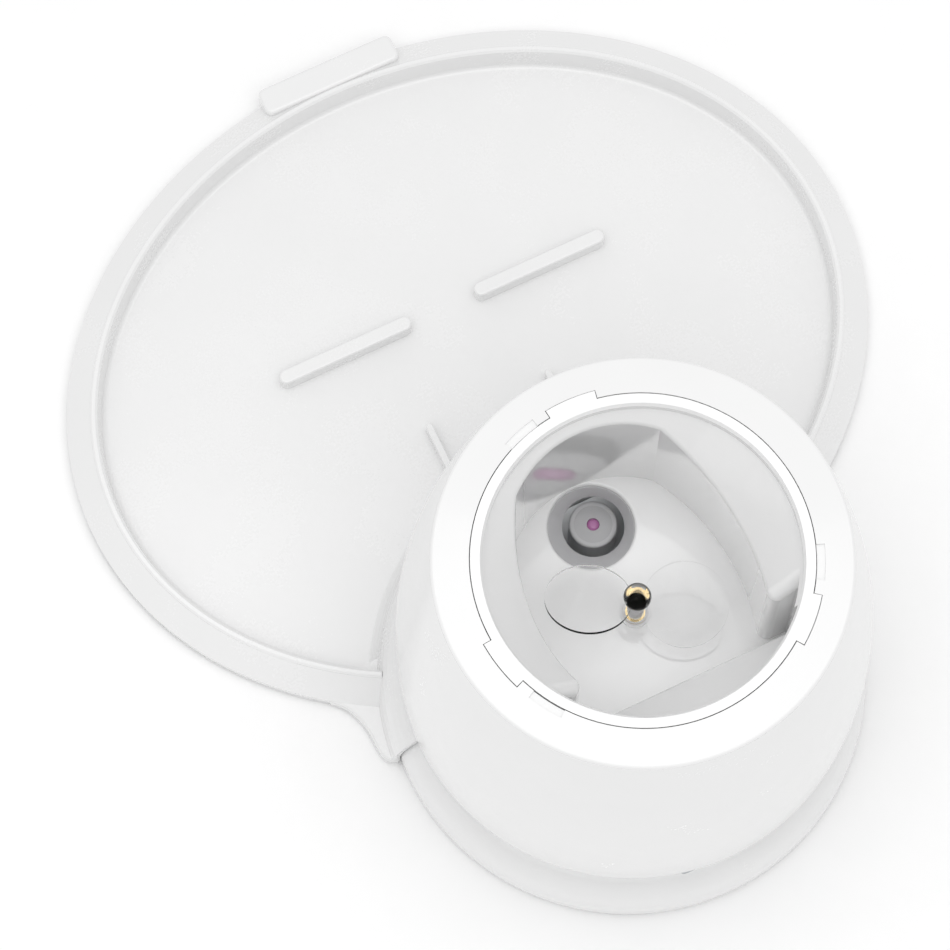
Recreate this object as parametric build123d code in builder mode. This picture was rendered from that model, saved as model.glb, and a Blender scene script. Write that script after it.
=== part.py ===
from build123d import *
import os
from math import cos, radians, sin

# Automatic pet feeder: a round hopper stands on a drum base, and an oval dish tray
# plugs in round its front. A motor turns a clear two-bladed rotor on the hopper floor,
# which sweeps food over a drop hole, and a chute leads it out under the body onto the tray.
#
# Millimetres, +Z up, and the tray lies towards -Y. The origin is on the surface that the
# feeder stands on, in the middle of its length and width. Everything else is placed from
# the hopper's vertical axis, which stands HOPPER_Y behind the origin.

os.makedirs("parts", exist_ok=True)

# ---------------------------------------------------------------- driving dimensions

WALL = 2.5                  # usual moulding thickness
GAP = 0.3                   # clearance between separate pieces
EDGE_ROUND = 1.0            # usual rounding of an outer edge

# base drum
BASE_R = 100.0
NECK_R = 88.0
RIM_Z = 2.0                 # lower edge of the skirts, just above the ground
SKIRT_STEP_Z = 7.0
SKIRT_TOP_Z = 22.0
NECK_TOP_Z = 54.0
PLATE_Z = 2.2
PLATE_T = 2.5
BOSS_RING_R = 82.5
BOSS_R = 4.0
SCREW_R = 1.4
SCREW_HEAD_R = 2.9
SCREW_LENGTH = 12.0
HEAD_SINK = 1.2             # depth of the bottom plate's screw recesses
BASE_FOOT_RING_R = 84.0

# body shell and its top collar
BODY_FOOT_R = 94.0
BODY_FOOT_Z = 50.0
BODY_BELLY_R = 92.8
BODY_BELLY_Z = 120.0
BODY_TOP_R = 80.0
BODY_TOP_Z = 190.5
BODY_FLANGE_WIDTH = 8.5
COLLAR_EDGE_Z = 193.0
TOP_Z = 195.0
MOUTH_R = 65.3              # round opening in the collar
LEDGE_R = 63.0              # ledge that carries the insert's seal
LEDGE_Z = 189.8
LEDGE_OUT_R = 71.0
LEDGE_LOW_Z = 186.5
HOOK_R = 77.3               # snap ring that holds the collar in the body
HOOK_LOW_Z = 182.0
HOOK_T = 2.0
COLLAR_ROUND = 1.2
ENTRY_DEPTH = 1.2           # depth of the recess beside each bayonet tab
ENTRY_WIDTH = 12.0          # degrees

# hopper insert
FLANGE_R = 64.9
FLANGE_T = 4.0
CUP_R = 62.5
LIP_R = 60.3
FLOOR_Z = 112.0
FLOOR_T = 2.5
HOLLOW_WALL = 2.0
TAB_R = 68.2
TAB_WIDTH = 17.0            # degrees
TAB_ANGLES = (12.0, -92.0, 134.0)
ENTRY_TURN = 19.5           # degrees from a tab to its entry recess
WELL_HALF = 43.3            # widest half-width of the leaf-shaped well
WELL_NOSE_Y = -57.2
WELL_SHOULDER = (30.3, -45.9)
WELL_HEEL = (38.0, 33.0)
SHELF_Y = 40.0
SHELF_Z = 150.0
SHELF_BACK_Y = 62.0
SHELF_RISE = 24.0
BOLSTER_Z = 164.5
BOLSTER_R = 42.0
BOLSTER_ROUND = 4.0
HOLE_ROUND = 1.2
POCKET_HALF = 50.0
HUB_R = 6.0
HUB_T = 1.5
BUSH_R = 4.0

# drop hole, throat and sensor
HOLE_Y = -39.3
HOLE_R = 17.2
THROAT_END = (-2.5, -42.0, 99.0)
THROAT_END_R = 12.5
POD_AT = (-4.6, -45.6)
POD_R = 9.8
POD_TOP_Z = 88.0

# chute
CHUTE_HALF = 23.0
CHUTE_WALL = 2.0
CHUTE_TOP_Z = 103.0
CHUTE_BACK_Y = -20.8
CHUTE_FRONT_Y = -57.8
CHUTE_ROOF_Y = -76.0
SPOUT_Y = -106.0
SPOUT_Z = 14.5
MOUTH_LOW_Z = 12.0
MOUTH_HIGH_Z = 48.0
MOUTH_HALF = 25.6

# rotor
SPINDLE_R = 2.5
RUN_FIT = 0.05              # radial clearance of a shaft in its bearing
BLADE_R = 17.1
BLADE_T = 1.2
BLADE_OFFSET = 18.9
BLADE_RISE = 18.2           # blade centre above the hopper floor
BLADE_PITCH = 25.0
ROTOR_TURN = -28.6          # rest angle of the first blade
ROTOR_NECK_R = 3.4
KNOB_R = 5.5
KNOB_RISE = 26.0
KNOB_STEM_R = 2.4
KNOB_PIN_R = 1.5
KNOB_PIN_LENGTH = 2.5

# drive
DECK_Z = 71.0
DECK_T = 3.0
COVER_Z = 91.0
COVER_T = 3.0
OUTPUT_TEETH = 32
IDLER_PINION_TEETH = 12
IDLER_WHEEL_TEETH = 36
MOTOR_TEETH = 10
OUTPUT_MODULE = 1.0
WHEEL_MODULE = 0.8
OUTPUT_SHAFT_R = 3.0
IDLER_AXLE_R = 1.5
MOTOR_SHAFT_R = 1.15
MOTOR_R = 12.0
MOTOR_LENGTH = 35.0
OUTPUT_GEAR_Z = 83.0
OUTPUT_GEAR_T = 6.0
WHEEL_Z = 77.0
WHEEL_T = 4.0
IDLER_Y = OUTPUT_MODULE * (OUTPUT_TEETH + IDLER_PINION_TEETH) / 2
MOTOR_Y = IDLER_Y + WHEEL_MODULE * (IDLER_WHEEL_TEETH + MOTOR_TEETH) / 2
DOG_R = 5.5
DOG_Z = 94.5
DOG_TOP_Z = 101.5
COUPLER_R = 8.0
COUPLER_Z = 96.5
COUPLER_TOP_Z = 104.4
BUSH_Z = 105.0
LEG_R = 3.5
LEG_X = 37.0
LEG_YS = (-11.0, 62.0)
PILLAR_X = 22.0
PILLAR_YS = (-8.0, 46.0)

# electrics
BAY_HALF = 32.0
BAY_Y = (9.5, 62.5)
BAY_TOP_Z = 22.0
CELL_R = 7.1
CELL_LENGTH = 50.5
CELL_PITCH = 15.2
BOARD_Z = 26.0
BOARD_T = 1.6
BOARD_HALF = 28.0
BOARD_Y = (14.0, 72.0)
PORT_Z = 34.0
SOCKET_X = -14.5
BUTTON_X = 14.5
BUTTON_R = 5.0

# tray
TRAY_HALF_X = 176.0
TRAY_HALF_Y = 145.5
TRAY_CENTRE_Y = -152.5
TRAY_SKIRT_Z = 1.0
TRAY_WALL = 2.2
RIM_EDGE_Z = 8.0            # outer edge, from which the rim slopes up to its bead
BEAD_INSET = 10.4
BEAD_FOOT_Z = 15.6
TRAY_RIM_TOP_Z = 17.0
BEAD_EASE = 0.9             # slope on the bead's two upper edges
DISH_LIP_INSET = 13.6
DISH_INSET = 15.0
DISH_ROUND = 2.0
TRAY_FLOOR_Z = 4.0
TRAY_FLOOR_T = 2.0
SADDLE_R = 100.6            # underside of the saddle that covers the base's skirt
SADDLE_TOP_R = 90.5
SADDLE_LOW_Z = 22.8
SADDLE_TOP_Z = 25.0
SADDLE_FOOT_R = 108.5
SADDLE_FOOT_Z = 3.6
EAR_END = (99.0, -8.2)
EAR_WAIST = (106.8, -22.0)
EAR_ROOT = (116.2, -43.0)
SILL_Z = 10.0
TAB_HALF = 31.5
TAB_DEPTH = 12.5
TAB_REACH = 2.0
TAB_LOW_Z = 6.0
TAB_ROUND = 1.6
PAD_X = 45.8
PAD_Y = -178.4
PAD_LENGTH = 61.5
PAD_WIDTH = 6.4
PAD_HEIGHT = 8.5
PAD_ROUND = 1.0
RIB_X = 28.0
RIB_Y = (-134.0, -103.5)
RIB_W = 3.0
RIB_HEIGHT = 7.0

FOOT_R = 7.0
TRAY_FOOT_X = 100.0
TRAY_FOOT_Y = 75.0
FRONT_Y = TRAY_CENTRE_Y - TRAY_HALF_Y - TAB_REACH
HOPPER_Y = -(FRONT_Y + BASE_R) / 2

# ---------------------------------------------------------------- planes and helpers

hopper_axis = Axis((0, HOPPER_Y, 0), (0, 0, 1))
section = Plane(origin=(0, HOPPER_Y, 0), x_dir=(1, 0, 0), z_dir=(0, -1, 0))  # x: radius, y: height
side = Plane(origin=(0, HOPPER_Y, 0), x_dir=(0, 1, 0), z_dir=(1, 0, 0))      # x: depth, y: height


def level(z):
    """Horizontal plane at height z, centred on the hopper axis."""
    return Plane(origin=(0, HOPPER_Y, z))


def across(y):
    """Upright plane facing the tray, at depth y from the hopper axis."""
    return Plane(origin=(0, HOPPER_Y + y, 0), x_dir=(1, 0, 0), z_dir=(0, -1, 0))


def save(piece, name):
    """Label a finished piece and write it as the node of that name."""
    piece.part.label = name
    export_step(piece.part, f"parts/{name}.step")


def ring_sector(inner, outer, middle, width):
    """Part of a flat ring, width degrees wide about the angle middle."""
    start = middle - width / 2
    with BuildSketch(mode=Mode.PRIVATE) as sector:
        with BuildLine():
            near = CenterArc((0, 0), inner, start, width)
            far = CenterArc((0, 0), outer, start, width)
            Line(near @ 0, far @ 0)
            Line(near @ 1, far @ 1)
        make_face()
    return sector.sketch


def gear_face(teeth, module, turn):
    """Spur gear outline. The teeth are straight-sided and cut thin, so a pair runs freely."""
    pitch_r = teeth * module / 2
    root_r = pitch_r - 1.2 * module
    tip_r = pitch_r + 0.9 * module
    step = 360 / teeth
    flank = ((root_r, -0.31), (tip_r, -0.11), (tip_r, 0.11), (root_r, 0.31))
    corners = []
    for tooth in range(teeth):
        for radius, lean in flank:
            angle = radians(turn + (tooth + lean) * step)
            corners.append((radius * cos(angle), radius * sin(angle)))
    with BuildSketch(mode=Mode.PRIVATE) as face:
        with BuildLine():
            Polyline(*corners, close=True)
        make_face()
    return face.sketch


# ---------------------------------------------------------------- base drum

with BuildPart() as base_shell:
    with BuildSketch(section):
        with BuildLine():
            Polyline((BASE_R - WALL, RIM_Z), (BASE_R, RIM_Z), (BASE_R, SKIRT_STEP_Z))
            ThreePointArc((BASE_R, SKIRT_STEP_Z), (96.5, 17.0), (NECK_R, SKIRT_TOP_Z))
            Polyline((NECK_R, SKIRT_TOP_Z), (NECK_R, NECK_TOP_Z), (NECK_R - WALL, NECK_TOP_Z),
                     (NECK_R - WALL, SKIRT_TOP_Z - 2))
            ThreePointArc((NECK_R - WALL, SKIRT_TOP_Z - 2), (94.5, 15.2),
                          (BASE_R - WALL, SKIRT_STEP_Z))
            Line((BASE_R - WALL, SKIRT_STEP_Z), (BASE_R - WALL, RIM_Z))
        make_face()
    revolve(axis=hopper_axis)
    foot_edges = base_shell.edges().filter_by(GeomType.CIRCLE).group_by(SortBy.RADIUS)[-1]
    fillet(foot_edges.sort_by(Axis.Z)[0], EDGE_ROUND)
    # screw bosses run up the inside of the neck
    with BuildSketch(level(PLATE_Z + PLATE_T)):
        with PolarLocations(BOSS_RING_R, 4, start_angle=45):
            Circle(BOSS_R)
    extrude(amount=NECK_TOP_Z - PLATE_Z - PLATE_T)
    with BuildSketch(level(PLATE_Z + PLATE_T)):
        with PolarLocations(BOSS_RING_R, 4, start_angle=45):
            Circle(SCREW_R)
    extrude(amount=NECK_TOP_Z - PLATE_Z - PLATE_T, mode=Mode.SUBTRACT)
    # food outlet through the front of the neck and the top of the skirt
    with BuildSketch(level(MOUTH_LOW_Z)):
        with Locations((0, -NECK_R - 5)):
            Rectangle(2 * MOUTH_HALF, 30)
    extrude(amount=MOUTH_HIGH_Z - MOUTH_LOW_Z, mode=Mode.SUBTRACT)
    # ports at the back for the power socket and the button
    with BuildSketch(across(NECK_R + 4)):
        with Locations((SOCKET_X, PORT_Z), (BUTTON_X, PORT_Z)):
            Circle(BUTTON_R + GAP)
    extrude(amount=14, mode=Mode.SUBTRACT)
save(base_shell, "base_shell")

with BuildPart() as bottom_plate:
    with BuildSketch(level(PLATE_Z)):
        Circle(BASE_R - WALL - GAP)
        with PolarLocations(BOSS_RING_R, 4, start_angle=45):
            Circle(SCREW_R + GAP, mode=Mode.SUBTRACT)
        with Locations((0, sum(BAY_Y) / 2)):
            Rectangle(2 * BAY_HALF, BAY_Y[1] - BAY_Y[0], mode=Mode.SUBTRACT)
    extrude(amount=PLATE_T)
    with BuildSketch(level(PLATE_Z)):
        with PolarLocations(BOSS_RING_R, 4, start_angle=45):
            Circle(SCREW_HEAD_R + GAP)
    extrude(amount=HEAD_SINK, mode=Mode.SUBTRACT)
save(bottom_plate, "bottom_plate")

with BuildPart() as base_feet:
    with BuildSketch(level(0)):
        with PolarLocations(BASE_FOOT_RING_R, 4):
            Circle(FOOT_R)
    extrude(amount=PLATE_Z)
    chamfer(base_feet.faces().sort_by(Axis.Z)[:4].edges(), 0.5)
save(base_feet, "base_feet")

with BuildPart() as plate_screws:
    with BuildSketch(level(PLATE_Z + 0.1)):
        with PolarLocations(BOSS_RING_R, 4, start_angle=45):
            Circle(SCREW_HEAD_R)
    extrude(amount=HEAD_SINK - 0.1)
    with BuildSketch(level(PLATE_Z + HEAD_SINK)):
        with PolarLocations(BOSS_RING_R, 4, start_angle=45):
            Circle(SCREW_R)
    extrude(amount=SCREW_LENGTH)
save(plate_screws, "plate_screws")

# ---------------------------------------------------------------- body shell and collar

with BuildPart() as body_shell:
    with BuildSketch(section):
        with BuildLine():
            ThreePointArc((BODY_FOOT_R, BODY_FOOT_Z), (BODY_BELLY_R, BODY_BELLY_Z),
                          (BODY_TOP_R, BODY_TOP_Z))
            Line((BODY_TOP_R, BODY_TOP_Z), (BODY_TOP_R - WALL, BODY_TOP_Z))
            ThreePointArc((BODY_TOP_R - WALL, BODY_TOP_Z), (BODY_BELLY_R - WALL, BODY_BELLY_Z),
                          (BODY_FOOT_R - WALL, BODY_FOOT_Z))
            Line((BODY_FOOT_R - WALL, BODY_FOOT_Z), (BODY_FOOT_R, BODY_FOOT_Z))
        make_face()
    revolve(axis=hopper_axis)
    fillet(body_shell.edges().group_by(Axis.Z)[0], EDGE_ROUND)
    # inner flange that sits on the neck
    with BuildSketch(level(NECK_TOP_Z)):
        Circle(BODY_FOOT_R - WALL + 0.5)
        Circle(NECK_R - BODY_FLANGE_WIDTH, mode=Mode.SUBTRACT)
        with PolarLocations(BOSS_RING_R, 4, start_angle=45):
            Circle(SCREW_R + GAP, mode=Mode.SUBTRACT)
    extrude(amount=WALL)
save(body_shell, "body_shell")

with BuildPart() as body_screws:
    with BuildSketch(level(NECK_TOP_Z + WALL)):
        with PolarLocations(BOSS_RING_R, 4, start_angle=45):
            Circle(SCREW_HEAD_R)
    extrude(amount=2)
    with BuildSketch(level(NECK_TOP_Z + WALL)):
        with PolarLocations(BOSS_RING_R, 4, start_angle=45):
            Circle(SCREW_R)
    extrude(amount=-SCREW_LENGTH)
save(body_screws, "body_screws")

tab_notches = [ring_sector(LEDGE_R, TAB_R + GAP, angle, TAB_WIDTH + 0.5) for angle in TAB_ANGLES]
tab_entries = [ring_sector(LEDGE_R, TAB_R + GAP, angle + ENTRY_TURN, ENTRY_WIDTH) for angle in TAB_ANGLES]

with BuildPart() as top_collar:
    with BuildSketch(section):
        with BuildLine():
            Polyline((MOUTH_R, TOP_Z), (BODY_TOP_R, COLLAR_EDGE_Z), (BODY_TOP_R, BODY_TOP_Z),
                     (HOOK_R, BODY_TOP_Z), (HOOK_R, HOOK_LOW_Z), (HOOK_R - HOOK_T, HOOK_LOW_Z),
                     (HOOK_R - HOOK_T, BODY_TOP_Z - 1), (LEDGE_OUT_R, BODY_TOP_Z - 1),
                     (LEDGE_OUT_R, LEDGE_LOW_Z), (LEDGE_R, LEDGE_LOW_Z), (LEDGE_R, LEDGE_Z),
                     (MOUTH_R, LEDGE_Z), close=True)
        make_face()
    revolve(axis=hopper_axis)
    rim = top_collar.edges().filter_by(GeomType.CIRCLE).group_by(SortBy.RADIUS)[-1]
    fillet(rim.sort_by(Axis.Z)[-1], COLLAR_ROUND)
    with BuildSketch(level(TOP_Z - FLANGE_T)):
        for shape in tab_notches:
            add(shape)
    extrude(amount=FLANGE_T + 1, mode=Mode.SUBTRACT)
    with BuildSketch(level(TOP_Z - ENTRY_DEPTH)):
        for shape in tab_entries:
            add(shape)
    extrude(amount=2, mode=Mode.SUBTRACT)
save(top_collar, "top_collar")

# ---------------------------------------------------------------- hopper insert

# plan of the leaf-shaped well, with a pocket behind the end of each bolster
with BuildSketch() as well_plan:
    with BuildLine():
        ThreePointArc((-WELL_SHOULDER[0], WELL_SHOULDER[1]), (0, WELL_NOSE_Y), WELL_SHOULDER)
        ThreePointArc(WELL_SHOULDER, (WELL_HALF, -6.0), WELL_HEEL)
        Polyline(WELL_HEEL, (WELL_HEEL[0], SHELF_Y), (-WELL_HEEL[0], SHELF_Y),
                 (-WELL_HEEL[0], WELL_HEEL[1]))
        ThreePointArc((-WELL_HEEL[0], WELL_HEEL[1]), (-WELL_HALF, -6.0),
                      (-WELL_SHOULDER[0], WELL_SHOULDER[1]))
    make_face()
    with Locations((0, (WELL_HEEL[1] - 1 + SHELF_Y) / 2)):
        Rectangle(2 * POCKET_HALF, SHELF_Y - WELL_HEEL[1] + 1)
    Circle(LIP_R - 1, mode=Mode.INTERSECT)

with BuildPart() as shelf_space:
    with BuildSketch(side):
        Polygon((SHELF_Y, SHELF_Z), (SHELF_BACK_Y, SHELF_Z + SHELF_RISE),
                (SHELF_BACK_Y, TOP_Z + 5), (SHELF_Y, TOP_Z + 5), align=None)
    extrude(amount=70, both=True)
    with BuildSketch(level(FLOOR_Z)):
        Circle(LIP_R)
    extrude(amount=TOP_Z - FLOOR_Z + 5, mode=Mode.INTERSECT)

# space under the bolsters and the shelf, which the moulding leaves open below
with BuildPart() as under_space:
    with BuildSketch(section):
        Polygon((0, BUSH_Z - 2), (CUP_R - HOLLOW_WALL, BUSH_Z - 2), (CUP_R - HOLLOW_WALL, 186),
                (BOLSTER_R + 2, BOLSTER_Z - 2.5), (0, BOLSTER_Z - 2.5), align=None)
    revolve(axis=hopper_axis)
    with BuildSketch(level(BUSH_Z - 4)):
        add(well_plan.sketch)
        offset(amount=HOLLOW_WALL, kind=Kind.INTERSECTION)
    extrude(amount=100, mode=Mode.SUBTRACT)
    with BuildSketch(side):
        Polygon((SHELF_Y - HOLLOW_WALL, SHELF_Z - 4), (SHELF_BACK_Y + 4, SHELF_Z + SHELF_RISE),
                (SHELF_BACK_Y + 4, TOP_Z), (SHELF_Y - HOLLOW_WALL, TOP_Z), align=None)
    extrude(amount=70, both=True, mode=Mode.SUBTRACT)

with BuildPart() as hopper_insert:
    with BuildSketch(level(FLOOR_Z - FLOOR_T)):
        Circle(CUP_R)
    extrude(amount=TOP_Z - FLANGE_T - FLOOR_Z + FLOOR_T)
    with BuildSketch(level(TOP_Z - FLANGE_T)):
        Circle(FLANGE_R)
        for tab in [ring_sector(LEDGE_R, TAB_R, angle, TAB_WIDTH) for angle in TAB_ANGLES]:
            add(tab)
    extrude(amount=FLANGE_T)
    # funnel mouth, leaf-shaped well and rear shelf
    with BuildSketch(section):
        Polygon((0, TOP_Z + 1), (LIP_R + 1.5, TOP_Z + 1), (LIP_R, TOP_Z - 1.5), (LIP_R, TOP_Z - 5),
                (BOLSTER_R, BOLSTER_Z), (0, BOLSTER_Z), align=None)
    revolve(axis=hopper_axis, mode=Mode.SUBTRACT)
    with BuildSketch(level(FLOOR_Z)):
        add(well_plan.sketch)
    extrude(amount=TOP_Z - FLOOR_Z + 5, mode=Mode.SUBTRACT)
    add(shelf_space.part, mode=Mode.SUBTRACT)
    add(under_space.part, mode=Mode.SUBTRACT)
    # bearing hub in the floor
    with BuildSketch(level(BUSH_Z)):
        Circle(HUB_R + 1)
    extrude(amount=FLOOR_Z - FLOOR_T - BUSH_Z)
    with BuildSketch(level(FLOOR_Z)):
        Circle(HUB_R)
    extrude(amount=HUB_T)
    with BuildSketch(level(BUSH_Z)):
        Circle(BUSH_R)
    extrude(amount=FLOOR_Z + HUB_T - BUSH_Z, mode=Mode.SUBTRACT)
    # drop hole with a rounded edge
    with BuildSketch(level(FLOOR_Z - FLOOR_T)):
        with Locations((0, HOLE_Y)):
            Circle(HOLE_R)
    extrude(amount=FLOOR_T, mode=Mode.SUBTRACT)
    # rounded shelf edge, bolster crests and rear ends, and rim of the hole
    shelf_edge = [edge for edge in hopper_insert.edges().filter_by(Axis.X)
                  if edge.length > SHELF_Y and abs(edge.center().Z - SHELF_Z) < 0.1
                  and edge.center().Y < HOPPER_Y + SHELF_Y + 1]
    fillet(shelf_edge, BOLSTER_ROUND)
    funnel = hopper_insert.faces().filter_by(GeomType.CONE).sort_by(SortBy.AREA)[-1]
    crest = [edge for edge in funnel.edges() if edge.geom_type != GeomType.CIRCLE and edge.length > 10]
    heels = [edge for edge in hopper_insert.edges().filter_by(Axis.Z)
             if edge.length > SHELF_Y and abs(abs(edge.center().X) - WELL_HEEL[0]) < 1]
    fillet(crest + heels, BOLSTER_ROUND)
    hole_edges = [edge for edge in hopper_insert.edges().filter_by(GeomType.CIRCLE)
                  if abs(edge.radius - HOLE_R) < 0.1]
    fillet(ShapeList(hole_edges).sort_by(Axis.Z)[-1], HOLE_ROUND)
save(hopper_insert, "hopper_insert")

with BuildPart() as hopper_seal:
    with BuildSketch(level(LEDGE_Z)):
        Circle(FLANGE_R - 0.2)
        Circle(LEDGE_R + 0.2, mode=Mode.SUBTRACT)
    extrude(amount=TOP_Z - FLANGE_T - LEDGE_Z)
save(hopper_seal, "hopper_seal")

with BuildPart() as shaft_bush:
    with BuildSketch(level(BUSH_Z)):
        Circle(BUSH_R)
        Circle(SPINDLE_R + RUN_FIT, mode=Mode.SUBTRACT)
    extrude(amount=FLOOR_Z + HUB_T - BUSH_Z)
save(shaft_bush, "shaft_bush")

# ---------------------------------------------------------------- rotor

ROTOR_FOOT_Z = FLOOR_Z + HUB_T + GAP
BLADE_Z = FLOOR_Z + BLADE_RISE
NECK_END_Z = FLOOR_Z + KNOB_RISE - KNOB_R - 0.6
SPINDLE_TOP_Z = NECK_END_Z - 4


def blade_plane(turn):
    """Plane of one blade, which is pitched about its own radius."""
    radius = Vector(cos(radians(turn)), sin(radians(turn)), 0)
    normal = Vector(0, 0, 1).rotate(Axis((0, 0, 0), tuple(radius)), BLADE_PITCH)
    return Plane(origin=(0, HOPPER_Y, BLADE_Z), x_dir=radius, z_dir=normal)


with BuildPart() as rotor_paddle:
    with BuildSketch(level(ROTOR_FOOT_Z)):
        Circle(ROTOR_NECK_R)
    extrude(amount=NECK_END_Z - ROTOR_FOOT_Z)
    with BuildSketch(level(ROTOR_FOOT_Z)):
        Circle(ROTOR_NECK_R + 1.6)
    extrude(amount=1.6)
    for turn in (ROTOR_TURN, ROTOR_TURN + 180):
        with BuildSketch(blade_plane(turn).offset(-BLADE_T / 2)):
            with Locations((BLADE_OFFSET, 0)):
                Circle(BLADE_R)
        extrude(amount=BLADE_T)
    with BuildSketch(level(ROTOR_FOOT_Z)):
        Circle(SPINDLE_R)
    extrude(amount=SPINDLE_TOP_Z - ROTOR_FOOT_Z, mode=Mode.SUBTRACT)
    with BuildSketch(level(NECK_END_Z)):
        Circle(KNOB_PIN_R)
    extrude(amount=-KNOB_PIN_LENGTH, mode=Mode.SUBTRACT)
save(rotor_paddle, "rotor_paddle")

with BuildPart() as rotor_knob:
    with Locations((0, HOPPER_Y, FLOOR_Z + KNOB_RISE)):
        Sphere(KNOB_R)
    with BuildSketch(level(NECK_END_Z)):
        Circle(KNOB_STEM_R)
    extrude(amount=KNOB_R)
    with BuildSketch(level(NECK_END_Z)):
        Circle(KNOB_PIN_R)
    extrude(amount=-KNOB_PIN_LENGTH)
save(rotor_knob, "rotor_knob")

with BuildPart() as rotor_spindle:
    with BuildSketch(level(DOG_TOP_Z + 0.5)):
        Circle(SPINDLE_R)
    extrude(amount=SPINDLE_TOP_Z - DOG_TOP_Z - 0.5)
save(rotor_spindle, "rotor_spindle")

# six-sided socket that drops over the drive dog
with BuildPart() as rotor_coupler:
    with BuildSketch(level(COUPLER_Z)):
        Circle(COUPLER_R)
    extrude(amount=COUPLER_TOP_Z - COUPLER_Z)
    with BuildSketch(level(COUPLER_Z)):
        RegularPolygon(DOG_R + GAP, 6)
    extrude(amount=DOG_TOP_Z + 0.5 - COUPLER_Z, mode=Mode.SUBTRACT)
    with BuildSketch(level(COUPLER_Z)):
        Circle(SPINDLE_R)
    extrude(amount=COUPLER_TOP_Z - COUPLER_Z, mode=Mode.SUBTRACT)
save(rotor_coupler, "rotor_coupler")

# ---------------------------------------------------------------- gear train

with BuildPart() as gear_deck:
    with BuildSketch(level(DECK_Z)):
        with Locations((0, sum(LEG_YS) / 2)):
            RectangleRounded(2 * LEG_X + 10, LEG_YS[1] - LEG_YS[0] + 10, 5)
        Circle(OUTPUT_SHAFT_R + RUN_FIT, mode=Mode.SUBTRACT)
        with Locations((0, IDLER_Y)):
            Circle(IDLER_AXLE_R, mode=Mode.SUBTRACT)
        with Locations((0, MOTOR_Y)):
            Circle(4.2, mode=Mode.SUBTRACT)
    extrude(amount=DECK_T)
    with BuildSketch(level(PLATE_Z + PLATE_T)):
        with Locations(*[(x, y) for x in (-LEG_X, LEG_X) for y in LEG_YS]):
            Circle(LEG_R)
    extrude(amount=DECK_Z - PLATE_Z - PLATE_T)
    with BuildSketch(level(DECK_Z + DECK_T)):
        with Locations(*[(x, y) for x in (-PILLAR_X, PILLAR_X) for y in PILLAR_YS]):
            Circle(3)
    extrude(amount=COVER_Z - DECK_Z - DECK_T)
save(gear_deck, "gear_deck")

with BuildPart() as gear_cover:
    with BuildSketch(level(COVER_Z)):
        with Locations((0, sum(PILLAR_YS) / 2)):
            RectangleRounded(2 * PILLAR_X + 8, PILLAR_YS[1] - PILLAR_YS[0] + 8, 4)
        Circle(OUTPUT_SHAFT_R + RUN_FIT, mode=Mode.SUBTRACT)
        with Locations((0, IDLER_Y)):
            Circle(IDLER_AXLE_R, mode=Mode.SUBTRACT)
    extrude(amount=COVER_T)
save(gear_cover, "gear_cover")

with BuildPart() as cover_screws:
    with BuildSketch(level(COVER_Z + COVER_T)):
        with Locations(*[(x, y) for x in (-PILLAR_X, PILLAR_X) for y in PILLAR_YS]):
            Circle(2.6)
    extrude(amount=1.4)
    fillet(cover_screws.faces().sort_by(Axis.Z)[-4:].edges(), 0.6)
save(cover_screws, "cover_screws")

with BuildPart() as output_gear:
    output_outline = gear_face(OUTPUT_TEETH, OUTPUT_MODULE, 0)
    with BuildSketch(level(OUTPUT_GEAR_Z)):
        add(output_outline)
        Circle(OUTPUT_SHAFT_R, mode=Mode.SUBTRACT)
    extrude(amount=OUTPUT_GEAR_T)
save(output_gear, "output_gear")

with BuildPart() as output_shaft:
    with BuildSketch(level(DECK_Z - 1)):
        Circle(OUTPUT_SHAFT_R)
    extrude(amount=DOG_Z + 4 - DECK_Z + 1)
save(output_shaft, "output_shaft")

with BuildPart() as drive_dog:
    with BuildSketch(level(DOG_Z)):
        RegularPolygon(DOG_R, 6)
    extrude(amount=DOG_TOP_Z - DOG_Z)
    chamfer(drive_dog.faces().sort_by(Axis.Z)[-1].edges(), 0.8)
    with BuildSketch(level(DOG_Z)):
        Circle(OUTPUT_SHAFT_R)
    extrude(amount=4, mode=Mode.SUBTRACT)
save(drive_dog, "drive_dog")

wheel_outline = gear_face(IDLER_WHEEL_TEETH, WHEEL_MODULE, 0)
pinion_outline = gear_face(IDLER_PINION_TEETH, OUTPUT_MODULE, 15)
with BuildPart() as idler_gear:
    with BuildSketch(level(WHEEL_Z)):
        with Locations((0, IDLER_Y)):
            add(wheel_outline)
            Circle(IDLER_AXLE_R + RUN_FIT, mode=Mode.SUBTRACT)
    extrude(amount=WHEEL_T)
    with BuildSketch(level(WHEEL_Z + WHEEL_T)):
        with Locations((0, IDLER_Y)):
            add(pinion_outline)
            Circle(IDLER_AXLE_R + RUN_FIT, mode=Mode.SUBTRACT)
    extrude(amount=OUTPUT_GEAR_Z + OUTPUT_GEAR_T - WHEEL_Z - WHEEL_T)
save(idler_gear, "idler_gear")

with BuildPart() as idler_axle:
    with BuildSketch(level(DECK_Z)):
        with Locations((0, IDLER_Y)):
            Circle(IDLER_AXLE_R)
    extrude(amount=COVER_Z + COVER_T - DECK_Z)
save(idler_axle, "idler_axle")

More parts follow.
